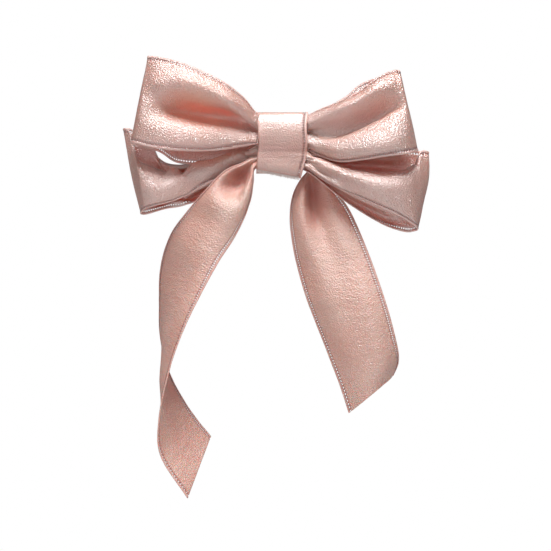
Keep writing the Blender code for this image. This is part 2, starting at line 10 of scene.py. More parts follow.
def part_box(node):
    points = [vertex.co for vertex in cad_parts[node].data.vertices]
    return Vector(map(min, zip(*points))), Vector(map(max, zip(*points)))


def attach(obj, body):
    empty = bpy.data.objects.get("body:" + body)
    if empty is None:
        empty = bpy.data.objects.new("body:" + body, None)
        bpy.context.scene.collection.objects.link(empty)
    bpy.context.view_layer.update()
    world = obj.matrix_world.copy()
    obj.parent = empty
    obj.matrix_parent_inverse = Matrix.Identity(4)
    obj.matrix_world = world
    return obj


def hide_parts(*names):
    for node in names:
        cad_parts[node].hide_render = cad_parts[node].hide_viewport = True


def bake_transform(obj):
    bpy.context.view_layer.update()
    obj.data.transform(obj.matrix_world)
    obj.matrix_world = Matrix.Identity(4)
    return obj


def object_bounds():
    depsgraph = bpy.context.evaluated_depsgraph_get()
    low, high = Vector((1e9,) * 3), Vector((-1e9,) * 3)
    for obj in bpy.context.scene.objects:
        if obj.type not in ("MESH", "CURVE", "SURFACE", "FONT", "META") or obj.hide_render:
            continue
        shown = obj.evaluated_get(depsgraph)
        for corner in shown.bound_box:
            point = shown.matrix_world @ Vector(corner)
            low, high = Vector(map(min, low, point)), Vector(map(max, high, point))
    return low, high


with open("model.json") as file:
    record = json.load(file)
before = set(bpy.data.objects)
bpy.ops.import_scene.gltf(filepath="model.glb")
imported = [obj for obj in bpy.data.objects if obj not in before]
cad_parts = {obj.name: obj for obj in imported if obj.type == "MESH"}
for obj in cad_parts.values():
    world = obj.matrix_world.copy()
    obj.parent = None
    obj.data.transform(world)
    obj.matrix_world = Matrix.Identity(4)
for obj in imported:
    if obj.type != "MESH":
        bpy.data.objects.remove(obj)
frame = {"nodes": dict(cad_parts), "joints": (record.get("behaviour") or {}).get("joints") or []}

CAD_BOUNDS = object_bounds()

# ---------------------------------------------------------------- places taken from the frame
KNOT_LOW, KNOT_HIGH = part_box("knot_band")
BOW_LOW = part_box("lower_left_loop")[0]
BOW_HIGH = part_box("lower_right_loop")[1]
MIDDLE = Vector(((KNOT_LOW.x + KNOT_HIGH.x) / 2, 0.0, (KNOT_LOW.z + KNOT_HIGH.z) / 2))
DESIGN_WIDTH = 138.4                               # the bow's width in design millimetres
MM = (BOW_HIGH.x - BOW_LOW.x) / DESIGN_WIDTH       # one design millimetre in metres
PIVOT = Vector(frame["joints"][0]["pos_m"])

# ---------------------------------------------------------------- ribbon
RIBBON_WIDTH = 40.0        # all in design millimetres
PITCH = 1.1                # ladder holes along the selvedge
CELL = PITCH / 2
HEM_STEPS = (0.0, 0.35, 0.75, 1.1, 1.85)           # cord, then the ladder's holes
BODY_CELLS = 38
HEM_THICKNESS = 0.62
CLOTH_SHARE = 0.45         # thickness of the cloth as a share of the hem's
SECTION_POINTS = 41
KNOT_EDGE = 11.0           # half of the band's width
UV_UNIT = 100.0            # design millimetres in one unit of a ribbon's UV map
BAND_WIDTH = 21.6
FINE_HEM = 0.05            # least share of the thickness at a hem's edge


def spline(values, places):
    """Catmull-Rom through rows of values, read at fractional row numbers."""
    values = np.asarray(values, float)
    last = len(values) - 1
    padded = np.concatenate([[2 * values[0] - values[1]], values, [2 * values[-1] - values[-2]]])
    cell = np.clip(np.floor(places).astype(int), 0, last - 1)
    t = (np.asarray(places) - cell).reshape((-1,) + (1,) * (values.ndim - 1))
    a, b, c, d = (padded[cell + k] for k in range(4))
    return 0.5 * (2 * b + (c - a) * t + (2 * a - 5 * b + 4 * c - d) * t ** 2
                  + (3 * b - a - 3 * c + d) * t ** 3)


def lengths_along(points):
    """Distance from the first point to each point of a line."""
    steps = np.linalg.norm(np.diff(points, axis=0), axis=1)
    return np.concatenate([[0.0], np.cumsum(steps)])


def read_line(points, distances):
    """Points of a line at the given distances along it."""
    at = lengths_along(points)
    return np.stack([np.interp(distances, at, points[:, k]) for k in range(3)], axis=1)


def station(start, end, profile):
    """Section of a ribbon from edge to edge: evenly spaced points, in design millimetres.

    start and end are the (x, z) of the two edges.  profile lists (share of the way, depth) or
    (share, depth, shift in x), and may turn back on itself where the cloth folds over.
    """
    rows = []
    for item in profile:
        share, depth = item[:2]
        shift = item[2] if len(item) > 2 else 0.0
        rows.append((start[0] + (end[0] - start[0]) * share + shift, depth,
                     start[1] + (end[1] - start[1]) * share))
    fine = spline(rows, np.linspace(0, len(rows) - 1, 90))
    return read_line(fine, np.linspace(0, lengths_along(fine)[-1], SECTION_POINTS))


def pleats(front, back, folds):
    """Profile of cloth folded to and fro between two depths."""
    return [(k / folds, front if k % 2 else back) for k in range(folds + 1)]


def deepen(stations, base, near, far, start=12.0, end=50.0):
    """Stations whose front, ahead of a depth, bulges more: near the knot and away from it."""
    for points in stations:
        away = min(1.0, max(0.0, (np.abs(points[:, 0]).mean() - start) / (end - start)))
        factor = near + (far - near) * away * away * (3 - 2 * away)
        ahead = points[:, 1] < base
        points[ahead, 1] = base + (points[ahead, 1] - base) * factor
    return stations


def even_rows(stations, step):
    """Rows an even step apart through a ribbon's stations."""
    count = len(stations)
    fine = spline(np.array(stations), np.linspace(0, count - 1, (count - 1) * 24 + 1))
    for _ in range(10):
        fine[1:-1] = 0.25 * fine[:-2] + 0.5 * fine[1:-1] + 0.25 * fine[2:]
    gaps = np.linalg.norm(np.diff(fine, axis=0), axis=2)
    travel = np.concatenate([[0.0], np.cumsum(gaps.mean(axis=1))])
    rows = int(round(travel[-1] / step))
    wanted = np.linspace(0, travel[-1], rows + 1)
    place = np.interp(wanted, travel, np.arange(len(travel)))
    low = np.clip(np.floor(place).astype(int), 0, len(fine) - 2)
    part = (place - low)[:, None, None]
    return fine[low] * (1 - part) + fine[low + 1] * part, wanted


def across_offsets():
    """Distances across a ribbon, closer together along its hems."""
    hem = list(HEM_STEPS)
    body = np.linspace(hem[-1], RIBBON_WIDTH - hem[-1], BODY_CELLS + 1)
    return np.array(hem[:-1] + list(body) + [RIBBON_WIDTH - r for r in reversed(hem[:-1])])


def ribbon_mesh(name, stations, wrinkle):
    """A ribbon with corded selvedges and a ladder of holes, from its stations."""
    rows, travel = even_rows(stations, CELL)
    flat = across_offsets()
    count = len(flat)
    grid = np.empty((len(rows), count, 3))
    for i, row in enumerate(rows):
        total = lengths_along(row)[-1]
        edge = HEM_STEPS[-1] * min(1.0, total / RIBBON_WIDTH * 1.2)
        inner = np.interp(flat, [0, HEM_STEPS[-1], RIBBON_WIDTH - HEM_STEPS[-1], RIBBON_WIDTH],
                          [0, edge, total - edge, total])
        grid[i] = read_line(row, inner)
    normals = grid_normals(grid)
    for i in range(len(grid)):
        for j in range(count):
            grid[i, j] += normals[i, j] * wrinkle(travel[i], flat[j], travel[-1])
    points = grid.reshape(-1, 3) * MM
    points += np.array(MIDDLE)
    holes = (len(HEM_STEPS) - 2, count - len(HEM_STEPS))
    faces = []
    for i in range(len(grid) - 1):
        for j in range(count - 1):
            if j in holes and i % 2:
                continue
            corner = i * count + j
            faces.append((corner, corner + 1, corner + count + 1, corner + count))
    mesh = bpy.data.meshes.new(name)
    mesh.from_pydata([Vector(p) for p in points], [], faces)
    unwrap(mesh, travel, flat)
    obj = add_piece(name, mesh)
    weights = hem_weights(count)
    mark(mesh, "hem", weights > 0.5, len(grid))
    # the ladder mark carries the painted shade of the holes' column
    ladder = np.zeros(count)
    for column in holes:
        ladder[[column, column + 1]] = 1.0
    mark(mesh, "ladder", ladder, len(grid))
    shell = set_thickness(obj, HEM_THICKNESS * MM, weights, len(grid))
    shell.thickness_vertex_group = FINE_HEM
    mesh.shade_smooth()
    return obj, travel[-1]


def add_piece(name, data):
    """A new object in the scene for a mesh, a light or a camera."""
    obj = bpy.data.objects.new(name, data)
    bpy.context.scene.collection.objects.link(obj)
    return obj


def unwrap(mesh, along, across):
    """UV map of a ribbon's grid, from each row's and each column's place in millimetres."""
    layer = mesh.uv_layers.new(name="ribbon")
    loops = np.empty(len(mesh.loops), int)
    mesh.loops.foreach_get("vertex_index", loops)
    count = len(across)
    places = np.stack([along[loops // count], across[loops % count]], axis=1) / UV_UNIT
    layer.data.foreach_set("uv", places.astype(np.float32).ravel())


def set_thickness(obj, thickness, weights, rows):
    """Give a sheet its thickness in metres, with a share of it for each column of its grid."""
    group = obj.vertex_groups.new(name="thickness")
    count = len(weights)
    for j, weight in enumerate(weights):
        group.add([i * count + j for i in range(rows)], float(weight), "REPLACE")
    shell = obj.modifiers.new("cloth", "SOLIDIFY")
    shell.thickness = thickness
    shell.offset = 0
    shell.vertex_group = "thickness"
    return shell


def mark(mesh, name, columns, rows):
    """A value for each column of a ribbon's grid, for its material."""
    layer = mesh.attributes.new(name, "FLOAT", "POINT")
    layer.data.foreach_set("value", np.tile(np.asarray(columns, np.float32), rows))


def mark_painted_light_and_shade(mesh, name, spots, run=(0.0, 1.0)):
    """Mask for painted light and shade: a soft value near some places, each (x, z, width, height,
    strength) in the design frame.

    Only the given run of the ribbon's path takes part, so that a loop's other layer stays plain.
    """
    layer = mesh.attributes.new(name, "FLOAT", "POINT")
    values = []
    for index, vertex in enumerate(mesh.vertices):
        place = (vertex.co - MIDDLE) / MM
        value = 0.0
        if not run[0] <= index / len(mesh.vertices) <= run[1]:
            values.append(value)
            continue
        for x, z, width, height, strength in spots:
            away = ((place.x - x) / width) ** 2 + ((place.z - z) / height) ** 2
            value = max(value, strength * math.exp(-away))
        values.append(value)
    layer.data.foreach_set("value", values)


def hem_weights(count):
    """Share of the hem's thickness at each column: a round cord, then the thin cloth."""
    cord = (0.55, 1.0, 0.95, 0.5)
    weights = np.full(count, CLOTH_SHARE)
    weights[:len(cord)] = cord
    weights[-len(cord):] = cord[::-1]
    return weights


def grid_normals(grid):
    along = np.gradient(grid, axis=0)
    across = np.gradient(grid, axis=1)
    normals = np.cross(along, across)
    return normals / np.maximum(np.linalg.norm(normals, axis=2, keepdims=True), 1e-9)


def gathers(depth, reach, seed, both_ends=True, ripple=0.10):
    """Wrinkle function: creases that fan out from the knot, over a faint overall ripple."""
    def height(along, across, total):
        ends = [along - KNOT_EDGE]
        if both_ends:
            ends.append(total - along - KNOT_EDGE)
        near = max(math.exp(-max(end, 0.0) / reach) for end in ends)
        fan = (noise.noise(Vector((across * 0.30, along * 0.035, seed)))
               + 0.6 * noise.noise(Vector((across * 0.62, along * 0.06, seed + 9))))
        soft = noise.noise(Vector((across * 0.10, along * 0.10, seed + 21)))
        fine = noise.noise(Vector((across * 0.35, along * 0.35, seed + 33)))
        return depth * near * fan + ripple * (1.6 * soft + 0.5 * fine)
    return height


# ---------------------------------------------------------------- the four loops and two tails
def upper_left_stations():
    return [
        station((-1, 9), (-1, 1), [(0, -14.6), (0.5, -14.8), (1, -14.6)]),
        station((-10.8, 13.5), (-10.5, -0.5),
                [(0, -15.0), (0.10, -16.4), (0.28, -17.0), (0.42, -16.0), (0.49, -14.4),
                 (0.43, -13.0), (0.52, -12.8), (0.64, -13.7), (0.78, -15.3), (0.92, -15.6),
                 (1, -15.0)]),
        station((-16.2, 19.6), (-16.4, -1.6),
                [(0, -16.5), (0.09, -18.6), (0.22, -20.0), (0.35, -19.2), (0.43, -17.4),
                 (0.37, -15.0), (0.39, -13.2), (0.49, -12.8), (0.60, -14.0), (0.76, -16.6),
                 (0.90, -17.6), (1, -16.8)]),
        station((-24, 25.6), (-24, -3.0),
                [(0, -18.2), (0.10, -20.0), (0.22, -21.6), (0.31, -20.8), (0.385, -17.4),
                 (0.40, -13.4), (0.48, -10.6), (0.55, -11.0), (0.61, -14.6), (0.68, -17.0),
                 (0.82, -17.9), (0.92, -17.8), (1, -17.0)]),
        station((-33, 30.5), (-34, -3.9),
                [(0, -19.0), (0.09, -20.8), (0.19, -22.2), (0.27, -21.4), (0.37, -17.8),
                 (0.46, -11.6), (0.54, -9.6), (0.60, -12.6), (0.65, -16.8), (0.72, -18.8),
                 (0.84, -19.3), (0.93, -19.0), (1, -18.0)]),
        station((-43, 34.6), (-46, -3.7),
                [(0, -19.0), (0.09, -20.8), (0.20, -22.2), (0.31, -21.0), (0.43, -16.0),
                 (0.52, -12.8), (0.58, -14.0), (0.64, -17.4), (0.74, -19.6), (0.88, -20.1),
                 (1, -19.2)]),
        station((-51.2, 37.0), (-57.0, -2.3),
                [(0, -17.6), (0.14, -19.6), (0.30, -21.0), (0.46, -18.8), (0.60, -18.6),
                 (0.78, -20.2), (1, -19.4)]),
        station((-57.2, 38.1), (-64.6, -0.4),
                [(0, -15.8), (0.25, -17.6), (0.5, -18.8), (0.75, -19.0), (1, -18.0)]),
        station((-58.6, 38.1), (-66.3, -0.2), [(0, -15.2), (0.5, -15.8), (1, -15.4)]),
        station((-57.2, 38.0), (-64.6, -0.9), [(0, -13.2), (0.5, -13.2), (1, -13.4)]),
        station((-50.0, 36.6), (-54.0, -3.8), [(0, -12.0), (0.3, -7.6), (0.7, -8.0),
                                               (1, -12.0)]),
        station((-38.0, 31.5), (-44.6, -8.9),
                [(0, -9.0), (0.14, -5.0), (0.30, -6.8), (0.46, -4.8), (0.62, -6.4),
                 (0.78, -8.4), (0.90, -9.6), (1, -11.2)]),
        station((-24.0, 24.5), (-24.0, -9.0),
                [(0, -11.0), (0.14, -7.0), (0.28, -9.0), (0.42, -6.4), (0.56, -8.6),
                 (0.70, -7.2), (0.85, -10.4), (1, -10.2)]),
        station((-11.2, 12.2), (-10.9, -1.2), pleats(-12.7, -10.2, 7)),
        station((-1, 8), (-1, 1), [(0, -12.7), (0.5, -12.5), (1, -12.7)]),
    ]


def lower_left_stations():
    return [
        station((-1, -1), (-1, -8), [(0, -9.4), (0.5, -9.2), (1, -9.4)]),
        station((-10.6, -0.8), (-11.0, -8.4),
                [(0.50, -9.0), (0.15, -9.0), (0.0, -10.2), (0.10, -11.8), (0.35, -12.8),
                 (0.58, -11.8), (0.60, -10.2), (0.66, -10.0), (0.80, -11.0), (0.92, -10.4),
                 (1, -9.4)]),
        station((-19.9, -2.9), (-18.5, -11.4),
                [(0.10, -8.8), (0.95, -8.8), (0.98, -9.8), (0.12, -9.6), (0, -10.8), (0.06, -12.6),
                 (0.35, -14.4), (0.62, -13.0), (0.66, -11.0), (0.74, -10.6), (0.88, -11.8),
                 (1, -10.8)]),
        station((-30.0, -6.8), (-28.0, -15.8),
                [(0.10, -9.0), (0.92, -9.0), (0.94, -10.2), (0.12, -9.8), (0, -11.0), (0.06, -12.8),
                 (0.32, -15.0), (0.60, -14.4), (0.76, -12.0), (0.90, -11.8), (1, -12.2)]),
        station((-39.5, -8.9), (-37.0, -20.4),
                [(0.14, -9.2), (0.84, -9.2), (0.86, -10.4), (0.12, -10.2), (0, -11.4),
                 (0.10, -13.2),
                 (0.40, -14.8), (0.75, -14.0), (0.95, -13.8), (1, -13.2)]),
        station((-47.0, -10.4), (-44.5, -24.4),
                [(0.36, -10.6), (0.22, -10.4), (0.10, -10.8), (0.03, -11.8), (0.12, -13.2),
                 (0.45, -15.2), (0.80, -14.8), (1, -13.8)]),
        station((-53.6, -11.8), (-50.5, -26.4),
                [(0, -11.6), (0.20, -13.7), (0.50, -14.6), (0.80, -14.4), (1, -13.6)]),
        station((-59.2, -9.1), (-55.6, -27.6),
                [(0, -12.0), (0.25, -13.8), (0.55, -14.4), (0.85, -14.0), (1, -13.2)]),
        station((-63.6, -6.6), (-59.6, -28.8),
                [(0, -11.6), (0.25, -13.4), (0.55, -13.8), (0.85, -13.2), (1, -12.4)]),
        station((-65.6, 0.4), (-61.4, -30.2),
                [(0, -10.6), (0.3, -12.2), (0.6, -12.6), (1, -11.4)]),
        station((-67.8, 6.4), (-62.0, -31.0),
                [(0, -9.2), (0.3, -10.6, -0.3), (0.6, -10.9, -0.5), (1, -10.0)]),
        station((-70.1, 6.8), (-61.8, -31.3),
                [(0, -7.2), (0.3, -8.4, -0.4), (0.6, -8.8, -0.7), (1, -8.6)]),
        station((-66.4, 6.6), (-59.4, -31.2), [(0, -6.2), (0.5, -6.8), (1, -7.2)]),
        station((-58.5, 2.0), (-52.0, -29.0),
                [(0, -6.4), (0.3, -6.2), (0.5, -4.6), (0.7, -8.6), (0.85, -4.6), (1, -7.2)]),
        station((-54.8, -5.6), (-44.5, -27.6),
                [(0, -7.2), (0.2, -6.2), (0.35, -7.6), (0.5, -4.0), (0.65, -8.6), (0.8, -4.0),
                 (0.9, -8.4), (1, -6.0)]),
        station((-49.0, -9.0), (-37.8, -25.4), pleats(-8.9, -3.4, 9)),
        station((-39.0, -8.4), (-29.5, -20.0), pleats(-8.9, -3.2, 9)),
        station((-24.0, -4.4), (-19.0, -13.6), pleats(-8.9, -3.2, 9)),
        station((-11.0, -1.6), (-11.0, -9.0), pleats(-8.4, -4.0, 9)),
        station((-1, -1.5), (-1, -8), [(0, -6.8), (0.5, -6.6), (1, -6.8)]),
    ]


def upper_right_stations():
    return [
        station((1, 9), (1, 0), [(0, -12.8), (0.5, -13.0), (1, -12.8)]),
        station((11.6, 12.7), (11.4, -3.2),
                [(0, -12.6), (0.08, -14.8), (0.22, -15.8), (0.36, -15.0), (0.43, -13.2),
                 (0.38, -12.0), (0.46, -11.8), (0.56, -13.4), (0.74, -15.0), (0.90, -14.4),
                 (1, -13.0)]),
        station((17.0, 15.0), (17.0, -6.0),
                [(0, -13.6), (0.07, -16.0), (0.20, -17.0), (0.32, -15.4), (0.42, -13.4),
                 (0.54, -13.0), (0.62, -14.4), (0.72, -16.0), (0.88, -15.6), (1, -13.6)]),
        station((24.8, 18.0), (24.5, -8.4),
                [(0, -14.6), (0.06, -17.0), (0.15, -18.0), (0.26, -16.4), (0.40, -14.0),
                 (0.53, -13.2), (0.605, -13.8), (0.598, -15.6), (0.66, -17.4), (0.80, -18.6),
                 (0.93, -17.6), (1, -16.0)]),
        station((33.0, 21.8), (33.2, -8.2),
                [(0, -15.6), (0.06, -18.2), (0.14, -19.2), (0.25, -17.4), (0.40, -14.4),
                 (0.51, -13.4), (0.568, -14.0), (0.548, -16.4), (0.59, -18.4), (0.72, -20.6),
                 (0.88, -20.8), (1, -18.6)]),
        station((40.8, 27.8), (42.5, -6.8),
                [(0, -16.4), (0.07, -19.0), (0.15, -20.2), (0.26, -18.4), (0.40, -15.0),
                 (0.50, -13.8), (0.556, -14.4), (0.530, -17.2), (0.57, -19.2), (0.70, -21.6),
                 (0.88, -22.6), (1, -21.0)]),
        station((46.6, 31.0), (50.5, -5.8),
                [(0, -14.6), (0.08, -17.8), (0.17, -19.4), (0.29, -18.0), (0.39, -15.8),
                 (0.46, -15.2), (0.492, -16.0), (0.482, -18.0), (0.53, -19.6), (0.68, -21.6),
                 (0.86, -22.4), (1, -21.2)]),
        station((50.2, 32.2), (56.4, -5.0),
                [(0, -13.8), (0.12, -16.8), (0.25, -18.0), (0.36, -17.4), (0.43, -17.4),
                 (0.55, -18.8), (0.75, -20.4), (1, -20.0)]),
        station((51.4, 31.8), (59.2, -4.2),
                [(0, -15.8), (0.25, -17.2), (0.5, -17.6), (0.75, -17.6), (1, -16.8)]),
        station((52.0, 31.6), (60.0, -3.6), [(0, -14.0), (0.5, -14.8), (1, -14.6)]),
        station((50.6, 31.6), (58.6, -3.8), [(0, -12.6), (0.5, -12.8), (1, -13.0)]),
        station((44.0, 29.8), (48.0, -4.8), [(0, -12.0), (0.3, -11.0), (0.7, -11.0),
                                             (1, -12.2)]),
        station((34.8, 26.2), (37.0, -5.2), pleats(-12.0, -10.6, 7)),
        station((27.4, 20.2), (25.0, -4.6), pleats(-12.2, -10.0, 7)),
        station((11.5, 11.6), (11.4, -1.6), pleats(-11.6, -9.2, 7)),
        station((1, 8), (1, 1), [(0, -11.0), (0.5, -10.8), (1, -11.0)]),
    ]


def lower_right_stations():
    return [
        station((1, -2), (1, -9), [(0, -14.6), (0.5, -14.8), (1, -14.6)]),
        station((11.2, -3.6), (11.0, -11.4),
                [(0, -13.8), (0.08, -15.8), (0.28, -16.8), (0.45, -16.0), (0.52, -14.8),
                 (0.62, -14.8), (0.78, -16.2), (0.92, -15.8), (1, -14.6)]),
        station((18.2, -7.4), (18.0, -16.3),
                [(0.62, -13.4), (0.20, -13.4), (0, -14.6), (0.04, -16.6), (0.20, -18.6),
                 (0.40, -18.4), (0.52, -16.8),
                 (0.64, -16.6), (0.82, -17.8), (1, -16.4)]),
        station((28.0, -10.6), (27.0, -20.9),
                [(0.58, -13.4), (0.20, -13.4), (0, -14.6), (0.00, -16.8), (0.12, -19.2),
                 (0.36, -20.4), (0.58, -19.2),
                 (0.80, -18.6), (0.94, -18.4), (1, -17.2)]),
        station((36.6, -12.4), (36.0, -24.9),
                [(0.40, -13.4), (0.14, -13.4), (0, -14.8), (-0.01, -16.8), (0.10, -19.6),
                 (0.34, -21.2), (0.62, -20.6),
                 (0.86, -19.6), (1, -18.4)]),
        station((45.0, -13.2), (44.0, -28.7),
                [(0.40, -12.6), (0.14, -12.4), (0, -13.6), (-0.01, -16.4), (0.10, -19.2),
                 (0.34, -21.0), (0.64, -20.6),
                 (0.88, -19.4), (1, -18.4)]),
        station((52.2, -12.2), (51.0, -31.9),
                [(0.36, -11.4), (0.12, -11.6), (0, -13.0), (0.00, -15.4), (0.12, -18.0),
                 (0.36, -19.6), (0.66, -19.4),
                 (0.90, -18.4), (1, -17.4)]),
        station((57.8, -9.6), (56.2, -35.0),
                [(0.22, -10.6), (0.07, -10.8), (0, -12.2), (0.03, -14.0), (0.18, -16.2),
                 (0.42, -17.6), (0.70, -17.6),
                 (0.90, -17.0), (1, -16.2)]),
        station((60.2, -5.4), (59.0, -37.0),
                [(0, -11.2), (0.08, -13.0), (0.30, -15.0), (0.60, -16.0), (0.85, -15.8),
                 (1, -15.0)]),
        station((62.6, -3.0), (59.8, -37.8),
                [(0, -10.4), (0.15, -12.0, 0.5), (0.45, -13.4, 1.2), (0.75, -13.6, 0.8),
                 (1, -13.2)]),
        station((65.1, -3.6), (60.0, -38.3),
                [(0, -9.0), (0.3, -10.4, 1.6), (0.6, -11.2, 1.0), (1, -11.4)]),
        station((62.4, -3.4), (58.6, -38.8), [(0, -7.6), (0.4, -8.2, 1.0), (1, -9.8)]),
        station((56.0, -2.6), (54.6, -39.1), [(0, -7.6), (0.5, -6.8), (1, -9.2)]),
        station((47.0, -2.6), (45.6, -36.2), pleats(-10.9, -7.0, 9)),
        station((36.0, -3.6), (36.2, -31.0), pleats(-12.4, -8.4, 9)),
        station((24.0, -4.8), (26.2, -24.2), pleats(-12.9, -8.8, 9)),
        station((11.4, -3.4), (11.4, -12.2), pleats(-12.6, -8.8, 9)),
        station((1, -2), (1, -9), [(0, -9.2), (0.5, -9.0), (1, -9.2)]),
    ]


def left_tail_stations():
    return [
        station((-1, -4.5), (-1, -9.5), [(0, -10.9), (0.5, -11.1), (1, -10.9)]),
        station((-12.0, -6.2), (-11.4, -11.0),
                [(0, -12.8), (0.2, -14.2), (0.45, -13.0), (0.70, -15.4), (1, -14.0)]),
        station((-17.2, -8.8), (-12.3, -16.6),
                [(0, -15.4), (0.10, -17.4), (0.24, -14.4), (0.40, -12.8), (0.56, -12.8),
                 (0.66, -17.6), (0.80, -20.6), (0.92, -19.8), (1, -17.8)]),
        station((-25.0, -12.3), (-13.4, -24.4),
                [(0, -17.0), (0.08, -19.4), (0.20, -17.0), (0.34, -13.2), (0.56, -12.8),
                 (0.68, -15.4), (0.70, -21.5), (0.80, -24.4), (0.92, -23.6), (1, -20.6)]),
        station((-33.2, -20.6), (-16.2, -33.0),
                [(0, -17.5), (0.12, -21.2), (0.26, -23.6), (0.42, -25.0), (0.58, -25.6),
                 (0.76, -26.0), (0.90, -25.0), (1, -22.6)]),
        station((-41.5, -29.8), (-20.8, -42.2),
                [(0, -11.6), (0.22, -17.6), (0.46, -23.0), (0.70, -25.6), (0.88, -25.2),
                 (1, -23.6)]),
        station((-49.2, -40.2), (-27.2, -52.2),
                [(0, -5.0), (0.22, -14.6), (0.46, -21.4), (0.72, -25.4), (1, -26.0)]),
        station((-53.7, -53.8), (-33.8, -64.0),
                [(0, -0.6), (0.22, -9.4), (0.46, -17.0), (0.72, -23.6), (1, -28.6)]),
        station((-54.5, -69.5), (-40.8, -78.0),
                [(0, 1.0), (0.22, -8.6), (0.46, -16.8), (0.72, -24.6), (1, -31.4)]),
        station((-53.9, -86.0), (-46.6, -92.5),
                [(0, 1.6), (0.25, -8.4, -0.8), (0.5, -16.8, -1.2), (0.75, -25.2, -0.8),
                 (1, -33.2)]),
        station((-50.2, -101.0), (-50.4, -106.5),
                [(0, 1.6), (0.25, -8.4, -2.4), (0.5, -16.8, -3.2), (0.75, -25.2, -2.2),
                 (1, -33.2)]),
        station((-44.3, -112.6), (-53.2, -120.5),
                [(0, 1.2), (0.25, -8.2, -1.6), (0.5, -16.0, -2.0), (0.75, -23.8, -1.2),
                 (1, -31.6)]),
        station((-38.2, -121.6), (-52.8, -136.5),
                [(0, 0.6), (0.25, -7.6, -0.6), (0.5, -14.8, -0.8), (0.75, -22.0, -0.4),
                 (1, -29.0)]),
        station((-31.4, -129.9), (-41.0, -155.4),
                [(0, 0.0), (0.25, -7.2), (0.5, -13.8), (0.75, -20.4), (1, -26.6)]),
    ]


def right_tail_stations():
    return [
        station((1, -9), (1, -5), [(0, -5.8), (0.5, -6.0), (1, -5.8)]),
        station((11.5, -10.6), (13.6, -5.6),
                [(0, -6.4), (0.3, -7.4), (0.5, -6.0), (0.75, -7.4), (1, -6.2)]),
        station((8.2, -16.0), (17.6, -12.8),
                [(0, -5.6), (0.24, -8.0), (0.46, -4.8), (0.58, -5.0), (0.80, -7.8), (1, -6.2)]),
        station((5.4, -21.6), (23.4, -20.4),
                [(0, -6.5), (0.12, -10.5), (0.26, -11.5), (0.40, -5.6), (0.50, -4.6),
                 (0.60, -6.6), (0.78, -8.6), (1, -6.8)]),
        station((3.8, -29.6), (29.4, -28.2),
                [(0, -7.5), (0.12, -11.6), (0.24, -12.2), (0.34, -7.0), (0.42, -5.4),
                 (0.55, -8.8), (0.75, -11.0), (1, -9.2)]),
        station((4.2, -39.6), (34.2, -38.2),
                [(0, -7.8), (0.20, -12.0), (0.36, -10.4), (0.48, -9.8), (0.70, -12.4),
                 (1, -11.0)]),
        station((6.9, -54.0), (40.0, -53.0),
                [(0, -6.6), (0.25, -11.2), (0.50, -12.2), (0.75, -13.4), (1, -12.6)]),
        station((11.6, -70.0), (45.4, -69.0),
                [(0, -7.6), (0.25, -12.0), (0.50, -13.8), (0.75, -14.8), (1, -13.0)]),
        station((18.6, -88.0), (50.0, -85.4),
                [(0, -8.6), (0.25, -12.8), (0.50, -14.8), (0.75, -15.2), (1, -12.4)]),
        station((24.8, -104.2), (51.6, -96.0),
                [(0, -9.4), (0.25, -13.0), (0.50, -14.8), (0.75, -14.6), (0.92, -12.0),
                 (1, -9.8)]),
        station((29.7, -118.9), (49.4, -102.2),
                [(0, -10.0), (0.25, -12.8), (0.50, -14.0), (0.72, -13.0), (0.90, -9.8, 0.4),
                 (1, -7.4)]),
    ]


# ---------------------------------------------------------------- materials
class Nodes:
    """Short calls to build a node tree."""

    def __init__(self, name):
        self.material = bpy.data.materials.new(name)
        self.material.use_nodes = True
        self.tree = self.material.node_tree
        self.shader = self.tree.nodes["Principled BSDF"]

    def add(self, kind, **settings):
        node = self.tree.nodes.new(kind)
        for key, value in settings.items():
            if key.startswith("in_"):
                node.inputs[key[3:]].default_value = value
            else:
                setattr(node, key, value)
        return node

    def link(self, source, target):
        self.tree.links.new(source, target)

    def noise(self, vector, scale, detail=2.0, roughness=0.5):
        node = self.add("ShaderNodeTexNoise", in_Scale=scale, in_Detail=detail,
                        in_Roughness=roughness)
        self.link(vector, node.inputs["Vector"])
        return node.outputs["Fac"]

    def scaled(self, vector, scale):
        node = self.add("ShaderNodeMapping", in_Scale=scale)
        self.link(vector, node.inputs["Vector"])
        return node.outputs["Vector"]

    def ramp(self, source, low, high):
        """A smooth step from 0 at low to 1 at high."""
        node = self.add("ShaderNodeMapRange", interpolation_type="SMOOTHSTEP")
        node.inputs["From Min"].default_value = low
        node.inputs["From Max"].default_value = high
        self.link(source, node.inputs["Value"])
        return node.outputs["Result"]

    def mix(self, factor, first, second):
        """Colours mixed by a socket; first and second are colours or sockets."""
        node = self.add("ShaderNodeMix", data_type="RGBA")
        self.link(factor, node.inputs["Factor"])
        for index, value in ((6, first), (7, second)):
            if isinstance(value, tuple):
                node.inputs[index].default_value = (*value, 1.0)
            else:
                self.link(value, node.inputs[index])
        return node.outputs[2]

    def math(self, operation, first, second):
        node = self.add("ShaderNodeMath", operation=operation)
        for index, value in enumerate((first, second)):
            if isinstance(value, (int, float)):
                node.inputs[index].default_value = value
            else:
                self.link(value, node.inputs[index])
        return node.outputs[0]

    def bump(self, height, strength, distance, below=None):
        node = self.add("ShaderNodeBump", in_Strength=strength, in_Distance=distance)
        self.link(height, node.inputs["Height"])
        if below is not None:
            self.link(below, node.inputs["Normal"])
        return node.outputs["Normal"]


BASE = (0.62, 0.28, 0.205)
PALE = (0.66, 0.33, 0.265)
GLOSS = 0.25                   # least roughness of the satin
IOR = 2.5                      # high, for the neutral shine of satin
GLOW = 0.8                     # light that passes through the cloth
CREPE = 1.5                    # strength of the grain
CREPE_SCALE = 1650.0
BOUNCE_LIGHT_PAINT = (0.95, 0.34, 0.20)      # painted bounce light: colour of cloth lit by light bouncing in the fold in front of it
SHADE_PAINT = (0.36, 0.115, 0.075)    # painted shade: dark colour of cloth in the shade deep inside a fold
